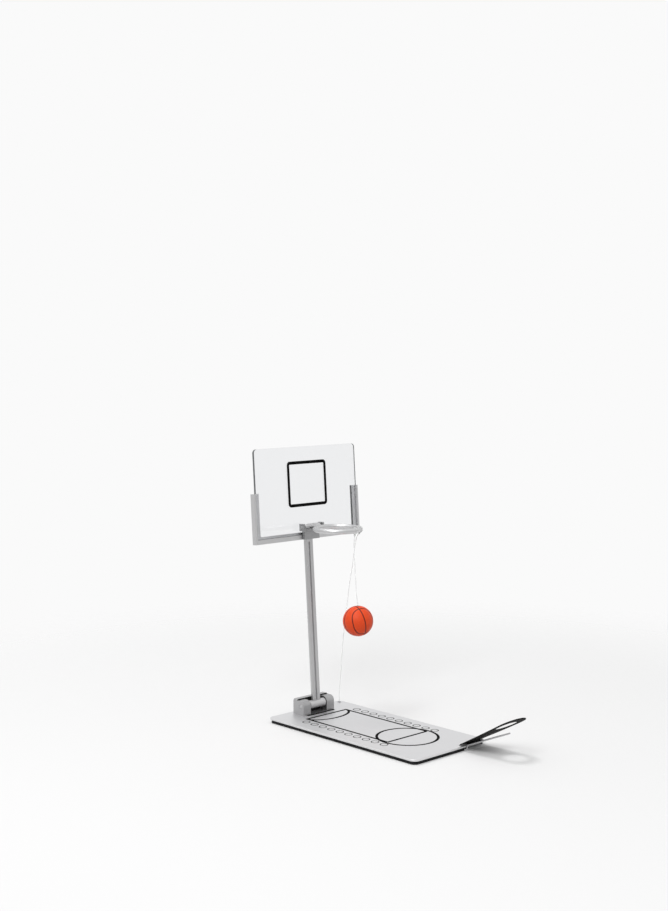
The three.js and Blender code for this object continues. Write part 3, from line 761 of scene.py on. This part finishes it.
# Four quarter circles, corner * (cos a, sin a), one at each corner of the square drawn in by the inset
def roundedSquare(inset):
    half, low, high = target["half"] - inset, target["low"] + inset, target["high"] - inset
    corner = target["corner"] - inset
    places = []
    for number, (x, z) in enumerate([(half, high), (-half, high), (-half, low), (half, low)]):
        centre = np.array([x - math.copysign(corner, x), z - corner if z == high else z + corner])
        angles = np.radians(np.linspace(0, 90, target["cornerPoints"]) + 90 * number)
        places.append(centre + corner * np.stack([np.cos(angles), np.sin(angles)], -1))
    return np.vstack(places)


# From the panel's face, x across, y up and z out of it, to the model's frame
def onPanel(points):
    return onMast(np.stack([points[:, 0], -points[:, 2], points[:, 1]], -1))


# The ink goes as deep into the panel's face as it stands proud of it
def makeTargetSquare():
    strip = (roundedSquare(target["line"]), roundedSquare(0), True)
    front, height = target["front"], target["inkHeight"]
    makeInk("targetSquare", [strip], front - height, front + height, "mast_and_board", onPanel)


makeMast()
makeTargetSquare()
print("mast and board made")


# Hoop

# A ring in the plane of the pin: (radius + tube cos v) round its middle, and tube sin v up
def makeHoop():
    count, sides = 144, 32
    around = np.arange(count) / count * 2 * math.pi
    tubeAngle = np.arange(sides) / sides * 2 * math.pi
    reach = ring["radius"] + ring["tube"] * np.cos(tubeAngle)[None, :]
    x = reach * np.sin(around)[:, None]
    y = -ring["reach"] - reach * np.cos(around)[:, None]
    z = np.broadcast_to(ring["tube"] * np.sin(tubeAngle)[None, :], x.shape)
    local = np.stack([x, y, z], -1).reshape(-1, 3)
    faces = ringFaces(count, sides, closed=True)
    hoop = meshObject("hoopRing", pinPlace + local, faces, materials["hoop"], "hoop")
    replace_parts(hoop, "hoop_ring")


# A short bar round the pin, with its edges cut off a little
def makeFoot():
    half, foot, edge = ring["footWidth"] / 2, ring["foot"], ring["footEdge"]
    rows = [(foot - edge, -half, 0), (foot, edge - half, 0), (foot, half - edge, 0), (foot - edge, half, 0)]
    turned("hoopFoot", rows, pinPlace, (1, 0, 0), materials["hoop"], "hoop")


# A flat bar from the pin to the ring. It ends sqrt(radius ^ 2 - half ^ 2) - neckSink behind the ring's
# middle, inside the ring's tube.
def makeNeck():
    half, rise = ring["neckWidth"] / 2, ring["neck"] / 2
    front = -ring["reach"] + math.sqrt(ring["radius"] ** 2 - half ** 2) - ring["neckSink"]
    corners = [(x, y, z) for x in (-half, half) for y in (front, 0) for z in (-rise, rise)]
    faces = [(0, 1, 3, 2), (4, 6, 7, 5), (0, 4, 5, 1), (2, 3, 7, 6), (0, 2, 6, 4), (1, 5, 7, 3)]
    neck = meshObject("hoopNeck", pinPlace + np.array(corners), faces, materials["hoop"], "hoop")
    addBevel(neck, ring["neckEdge"], 3)


makeHoop()
makeFoot()
makeNeck()
print("hoop made")


# Ball

seams = {
    "ovalAxis": (-0.284, -0.948, 0.142),
    "seamAxis": (-0.948, 0.256, -0.187),
    "longShare": 0.82,
    "shortShare": 0.735,
    "power": 2.3,
}
plugRows = [
    (0.9 * mm, -1.2 * mm, 0),
    (1.3 * mm, -0.4 * mm, 0),
    (1.25 * mm, 0.02 * mm, 0),
    (0.8 * mm, 0.1 * mm, 0),
]


# How far each point of the ball is from its nearest seam. The seams are two great circles square to each
# other and, seen along the first one's axis, an oval on each side, where
# |along / long| ^ power + |across / short| ^ power = 1.
def seamDistance(unit):
    oval = Vector(seams["ovalAxis"]).normalized()
    seam = Vector(seams["seamAxis"])
    seam = (seam - oval * seam.dot(oval)).normalized()
    long = seam.cross(oval)
    a, b, c = unit @ np.array(oval), unit @ np.array(long), unit @ np.array(seam)
    t = np.linspace(0, 2 * math.pi, 361)[:-1]
    power = 2 / seams["power"]
    along = seams["longShare"] * np.sign(np.cos(t)) * np.abs(np.cos(t)) ** power
    across = seams["shortShare"] * np.sign(np.sin(t)) * np.abs(np.sin(t)) ** power
    curve = np.stack([np.sqrt(np.maximum(0, 1 - along ** 2 - across ** 2)), along, across], -1)
    here = np.stack([np.abs(a), b, c], -1)
    nearest = np.concatenate([(part @ curve.T).max(1) for part in np.array_split(here, 40)])
    ovalAngle = np.arccos(np.clip(nearest, -1, 1))
    circleAngle = np.minimum(np.abs(np.arcsin(a)), np.abs(np.arcsin(c)))
    return np.minimum(circleAngle, ovalAngle) * ballSize["radius"]


# A sphere in rings from pole to pole, whose radius is less by groove * e ^ -(distance / seam) ^ 2
def makeBall():
    count, rings = 320, 159
    polar = ((np.arange(rings) + 1) / (rings + 1) * math.pi)[:, None]
    around = (np.arange(count) / count * 2 * math.pi)[None, :]
    height = np.broadcast_to(np.cos(polar), (rings, count))
    unit = np.stack([np.sin(polar) * np.cos(around), np.sin(polar) * np.sin(around), height], -1)
    unit = np.vstack([unit.reshape(-1, 3), [[0, 0, 1], [0, 0, -1]]])
    distance = seamDistance(unit)
    depth = ballSize["groove"] * np.exp(-((distance / ballSize["seam"]) ** 2))
    points = ballPlace + unit * (ballSize["radius"] - depth)[:, None]
    faces = ringFaces(rings, count).tolist()
    top, bottom, last = rings * count, rings * count + 1, (rings - 1) * count
    faces += [[top, i, (i + 1) % count] for i in range(count)]
    faces += [[bottom, last + (i + 1) % count, last + i] for i in range(count)]
    ball = meshObject("ballSkin", points, faces, materials["ball"], "hanging_ball")
    seam = ball.data.attributes.new("seam", "FLOAT", "POINT")
    seam.data.foreach_set("value", distance.astype(np.float32))
    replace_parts(ball, "ball")
    plug = turned("ballPlug", plugRows, ballTop, (0, 0, 1), materials["plug"], "hanging_ball", 24)
    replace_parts(plug, "ball_plug")


makeBall()
print("ball made")


# Launcher: leaf and stop wire

leaf = {
    "middle": 24.7 * mm,
    "half": 12.5 * mm,
    "thickness": 0.6 * mm,
    "edge": 0.12 * mm,
    "reach": 42.2 * mm,
    "hole": 8.6 * mm,
    "holePlace": 38.3 * mm,
    "rings": 5,
    "rows": 25,
    "root": np.array([-76.6, 4.52]) * mm,
    "rootAngle": 28.3,  # slopes in degrees
    "tipAngle": 30.6,
    "twist": math.radians(4.6),
    "tabLow": -4.9 * mm,
    "tabHigh": 12.1 * mm,
    "merge": 1e-7,  # points closer than this are one
    "bendShare": 0.75,
}
# The tab goes from the leaf's root down through the plate's slot and back under it: y and z
tabRoute = np.array([
    [-76.6, 4.52], [-76.3, 4.2], [-76.14, 3.6], [-76.1, 3],
    [-75.98, 2.45], [-75.55, 2.17], [-74.8, 2.2], [-67.6, 2.2],
]) * mm
wire = {
    "radius": 0.6 * mm,
    "edge": 0.2 * mm,
    "x": 16 * mm,
    "leg": -80.65 * mm,
    "foot": 1.52 * mm,
    "angle": 23.2,
    "armHeight": 4.22 * mm,
    "armFirst": 1.6 * mm,
    "armLast": 43.5 * mm,
    "armPoints": 12,
    "bendFirst": np.array([0, 0, 3.9]) * mm,
    "bendLast": np.array([0, -8, 7.6]) * mm,
}
# The wire's foot and leg: how far behind the leg, and how far above the foot
legRoute = np.array([[9, 0], [5, 0], [1.9, 0], [0.7, 0.3], [0.05, 1.2], [0, 2], [-0.25, 2.65]]) * mm


# The slope grows steadily along the leaf, so y = root - (sin slope - sin rootAngle) / change, and
# z = root + (cos rootAngle - cos slope) / change. The twist about the middle line grows steadily too: it puts
# x at middle + sideways * cos twist, and lowers z by sideways * sin twist.
def leafPlace(sideways, along):
    total = leaf["reach"] + leaf["half"]
    first = math.radians(leaf["rootAngle"])
    change = (math.radians(leaf["tipAngle"]) - first) / total
    here = first + change * along
    twist = leaf["twist"] * along / total
    x = leaf["middle"] + sideways * np.cos(twist)
    y = leaf["root"][0] - (np.sin(here) - math.sin(first)) / change
    z = leaf["root"][1] + (math.cos(first) - np.cos(here)) / change - sideways * np.sin(twist)
    return np.stack([x, y, z], -1)


# How far the leaf's edge is from the centre of the hole in each direction. It is a half circle at the tip,
# straight to the sides, and straight across at half a leaf's width behind the hole's centre.
def leafColumns(count=96):
    half, ahead = leaf["half"], leaf["reach"] - leaf["holePlace"]
    angles = np.arange(count) / count * 2 * math.pi
    unit = np.stack([np.cos(angles), np.sin(angles)], -1)
    forward = ahead * unit[:, 1]
    scale = forward + np.sqrt(forward ** 2 + half ** 2 - ahead ** 2)
    straightSided = scale * unit[:, 1] < ahead
    sideways = half / np.maximum(np.abs(unit[:, 0]), 1e-9)
    downward = half / np.maximum(-unit[:, 1], 1e-9)
    scale[straightSided] = np.minimum(sideways, downward)[straightSided]
    return unit, scale


# Three grids whose shared rows are merged later: rings from the hole out to the edge, rows from there back
# to the root, and the tab
def leafGrids():
    unit, scale = leafColumns()
    hole, holePlace = leaf["hole"], leaf["holePlace"]
    shares = np.linspace(0, 1, leaf["rings"])[:, None]
    reach = hole + (scale - hole) * shares
    rings = np.array([0, holePlace]) + unit * reach[:, :, None]
    low = holePlace - leaf["half"]
    outer = rings[-1]
    columns = np.sort(outer[np.abs(outer[:, 1] - low) < leaf["merge"]][:, 0])
    rows = np.stack(np.meshgrid(columns, np.linspace(low, 0, leaf["rows"])), -1)
    flat = np.vstack([rings.reshape(-1, 2), rows.reshape(-1, 2)])
    tab = curveThrough(tabRoute, 5)
    kept = columns[(columns >= leaf["tabLow"]) & (columns <= leaf["tabHigh"])]
    sideways, step = np.meshgrid(leaf["middle"] + kept, np.arange(len(tab)))
    tabPoints = np.stack([sideways, tab[step, 0], tab[step, 1]], -1).reshape(-1, 3)
    points = np.vstack([leafPlace(flat[:, 0], flat[:, 1]), tabPoints])
    faces = np.vstack([
        ringFaces(leaf["rings"], len(unit)),
        rings.size // 2 + ringFaces(leaf["rows"], len(columns), openRows=True),
        len(flat) + ringFaces(len(tab), len(kept), openRows=True),
    ])
    return points, faces


def makeLeaf():
    made = meshObject("launcherLeaf", *leafGrids(), materials["leaf"])
    tidyFaces(made.data, leaf["merge"])
    made.data.shade_smooth()
    thick = made.modifiers.new("thickness", "SOLIDIFY")
    thick.thickness = leaf["thickness"]
    thick.offset = 0
    addBevel(made, leaf["edge"], 2, 50)
    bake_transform(made)
    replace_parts(made, "launcher_leaf", "spring_tail")


# The wire bends up from its foot into the leg, and then the arm goes on by reach * (-cos a, sin a)
def makeWire():
    x, leg = wire["x"], wire["leg"]
    angle = math.radians(wire["angle"])
    reach = np.linspace(wire["armFirst"], wire["armLast"], wire["armPoints"])
    arm = np.column_stack([leg - reach * math.cos(angle), wire["armHeight"] + reach * math.sin(angle)])
    flat = np.vstack([legRoute + [leg, wire["foot"]], arm])
    path = np.column_stack([np.full(len(flat), x), flat])
    made = tube("stopWire", curveThrough(path, 6), wire["radius"], materials["steel"])
    addBevel(made, wire["edge"], 2, 60)
    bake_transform(made)
    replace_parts(made, "stop_wire", "wire_leg")


makeLeaf()
makeWire()
print("launcher made")


# Screws with a hexagon socket. Each kind has a left one and a right one.

screws = {
    "block": {
        "x": (-12.7 * mm, 12.7 * mm), "y": 71.6 * mm, "z": 1 * mm,
        "head": 2.6 * mm, "height": 1.5 * mm, "shank": 1.3 * mm, "length": 10 * mm,
        "body": "base",
    },
    "clamp": {
        "x": (22.8 * mm, 33.8 * mm), "y": -70.6 * mm, "z": 0.27 * mm,
        "head": 1.5 * mm, "height": 0.6 * mm, "shank": 0.8 * mm, "length": 3.1 * mm,
        "body": "base",
    },
    "bracket": {
        "x": (-5.5 * mm, 5.5 * mm), "y": 3.25 * mm, "z": 134.7 * mm,
        "head": 1.6 * mm, "height": 0.9 * mm, "shank": 0.8 * mm, "length": 7.5 * mm,
        "body": "mast_and_board",
    },
}
screwHead = {"under": 0.1 * mm, "over": 0.15 * mm, "socketShare": 0.5, "socketDepthShare": 0.55}


# The rows from the shank's tip up to the head, and down again into the socket
def screwRows(head, height, shank, length):
    under, over, socket = screwHead["under"], screwHead["over"], head * screwHead["socketShare"]
    return [
        (shank, -length, 0),
        (shank, -height, 0),
        (head - under, -height, 0),
        (head, -height + under, 0),
        (head, -over, 0),
        (head - over, 0, 0),
        (socket, 0, 1),
        (socket, -height * screwHead["socketDepthShare"], 1),
    ]


# The screws of the bracket lean with the mast and look back, and the others look down
def makeScrews():
    down, back = (0, 0, -1), onMast([0, 1.0, 0]) - onMast([0, 0, 0])
    for kind, size in screws.items():
        onBoard = size["body"] == "mast_and_board"
        rows = screwRows(size["head"], size["height"], size["shank"], size["length"])
        for side, x in zip(("left", "right"), size["x"]):
            place = np.array([x, size["y"], size["z"]])
            if onBoard:
                place = onMast(place)
            name = f"{kind}Screw{side.title()}"
            made = turned(name, rows, place, back if onBoard else down, materials["steel"], size["body"])
            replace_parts(made, f"{kind}_screw_{side}")


makeScrews()
print("screws made")


# Floor, light and surroundings

light = {
    "level": 0.56,
    "sky": 0.87,
    "front": 0.54,
    "backdrop": 0.956,
    "bounce": 0.36,
    "skyAxis": (0.5, 0.55, 0.67),
    "frontAt": -0.75,
    "skyAt": 0.45,
}
lamps = {
    "overhead": {"place": (-0.3, 0.6, 2.6), "power": 16, "size": 0.7},
    "left": {"place": (-1.7, -0.7, 1.9), "power": 21.5, "size": 1.2},
}
floorSize = {"half": 2, "fadeFirst": 0.25, "fadeLast": 0.6}


# One for rays of the kinds named, and nought for the others
def raysOf(owner, *kinds):
    path = addNode(owner, "ShaderNodeLightPath")
    found = path.outputs[kinds[0]]
    for kind in kinds[1:]:
        either = addNode(owner, "ShaderNodeMath", operation="MAXIMUM")
        join(owner, found, either.inputs[0])
        join(owner, path.outputs[kind], either.inputs[1])
        found = either.outputs["Value"]
    return found


# The floor is as pale as the backdrop where it is seen, straight, mirrored or through the panel, and darker
# for the light that it throws back. Further out it fades into the backdrop.
def makeFloor():
    material = newMaterial("floorPaint", (light["bounce"],) * 3, 0, 0.9, {"Specular IOR Level": 0})
    inputs = material.node_tree.nodes["Principled BSDF"].inputs
    tone = addNode(material, "ShaderNodeMix", data_type="RGBA")
    tone.inputs["A"].default_value = (*[light["bounce"]] * 3, 1)
    tone.inputs["B"].default_value = (*[light["backdrop"]] * 3, 1)
    seen = raysOf(material, "Is Camera Ray", "Is Glossy Ray", "Is Transmission Ray")
    join(material, seen, tone.inputs["Factor"])
    join(material, tone.outputs["Result"], inputs["Base Color"])
    fadeOut(material)
    half = floorSize["half"]
    corners = [(-half, -half, 0), (half, -half, 0), (half, half, 0), (-half, half, 0)]
    meshObject("floor", corners, [(0, 1, 2, 3)], material, smooth=False)


# Mixes in transparency with the distance from the origin
def fadeOut(material):
    shaders = material.node_tree.nodes
    coordinates = addNode(material, "ShaderNodeTexCoord")
    length = addNode(material, "ShaderNodeVectorMath", operation="LENGTH")
    fade = addNode(material, "ShaderNodeMapRange", interpolation_type="SMOOTHSTEP")
    fade.inputs["From Min"].default_value = floorSize["fadeFirst"]
    fade.inputs["From Max"].default_value = floorSize["fadeLast"]
    clear = addNode(material, "ShaderNodeBsdfTransparent")
    mix = addNode(material, "ShaderNodeMixShader")
    join(material, coordinates.outputs["Object"], length.inputs[0])
    join(material, length.outputs["Value"], fade.inputs["Value"])
    join(material, fade.outputs["Result"], mix.inputs["Fac"])
    join(material, shaders["Principled BSDF"].outputs["BSDF"], mix.inputs[1])
    join(material, clear.outputs["BSDF"], mix.inputs[2])
    join(material, mix.outputs["Shader"], shaders["Material Output"].inputs["Surface"])


# The camera sees one pale tone, and diffuse light comes evenly from all sides. What the metal mirrors is
# paler above and behind than in front.
def makeWorld():
    world = bpy.data.worlds.new("surroundings")
    bpy.context.scene.world = world
    world.use_nodes = True
    world.node_tree.nodes.clear()
    output = addNode(world, "ShaderNodeOutputWorld")
    surroundings = addNode(world, "ShaderNodeBackground", Color=(1, 1, 1, 1))
    coordinates = addNode(world, "ShaderNodeTexCoord")
    facing = addNode(world, "ShaderNodeVectorMath", operation="DOT_PRODUCT")
    facing.inputs[1].default_value = light["skyAxis"]
    shade = addNode(world, "ShaderNodeMapRange")
    shade.inputs["From Min"].default_value = light["frontAt"]
    shade.inputs["From Max"].default_value = light["skyAt"]
    shade.inputs["To Min"].default_value = light["front"]
    shade.inputs["To Max"].default_value = light["sky"]
    lit = addNode(world, "ShaderNodeMix")
    lit.inputs["A"].default_value = light["level"]
    seen = addNode(world, "ShaderNodeMix")
    seen.inputs["B"].default_value = light["backdrop"]
    join(world, coordinates.outputs["Generated"], facing.inputs[0])
    join(world, facing.outputs["Value"], shade.inputs["Value"])
    join(world, raysOf(world, "Is Glossy Ray"), lit.inputs["Factor"])
    join(world, shade.outputs["Result"], lit.inputs["B"])
    join(world, raysOf(world, "Is Camera Ray", "Is Transmission Ray"), seen.inputs["Factor"])
    join(world, lit.outputs["Result"], seen.inputs["A"])
    join(world, seen.outputs["Result"], surroundings.inputs["Strength"])
    join(world, surroundings.outputs["Background"], output.inputs["Surface"])


def makeLamps():
    for name, lamp in lamps.items():
        data = bpy.data.lights.new(name + "Lamp", "AREA")
        data.energy = lamp["power"]
        data.size = lamp["size"]
        made = bpy.data.objects.new(name + "Lamp", data)
        made.location = lamp["place"]
        made.rotation_euler = (-made.location).to_track_quat("-Z", "Y").to_euler()
        bpy.context.scene.collection.objects.link(made)


makeFloor()
makeWorld()
makeLamps()
bpy.context.scene.view_settings.view_transform = "Standard"
print("stage made")

writeSize()
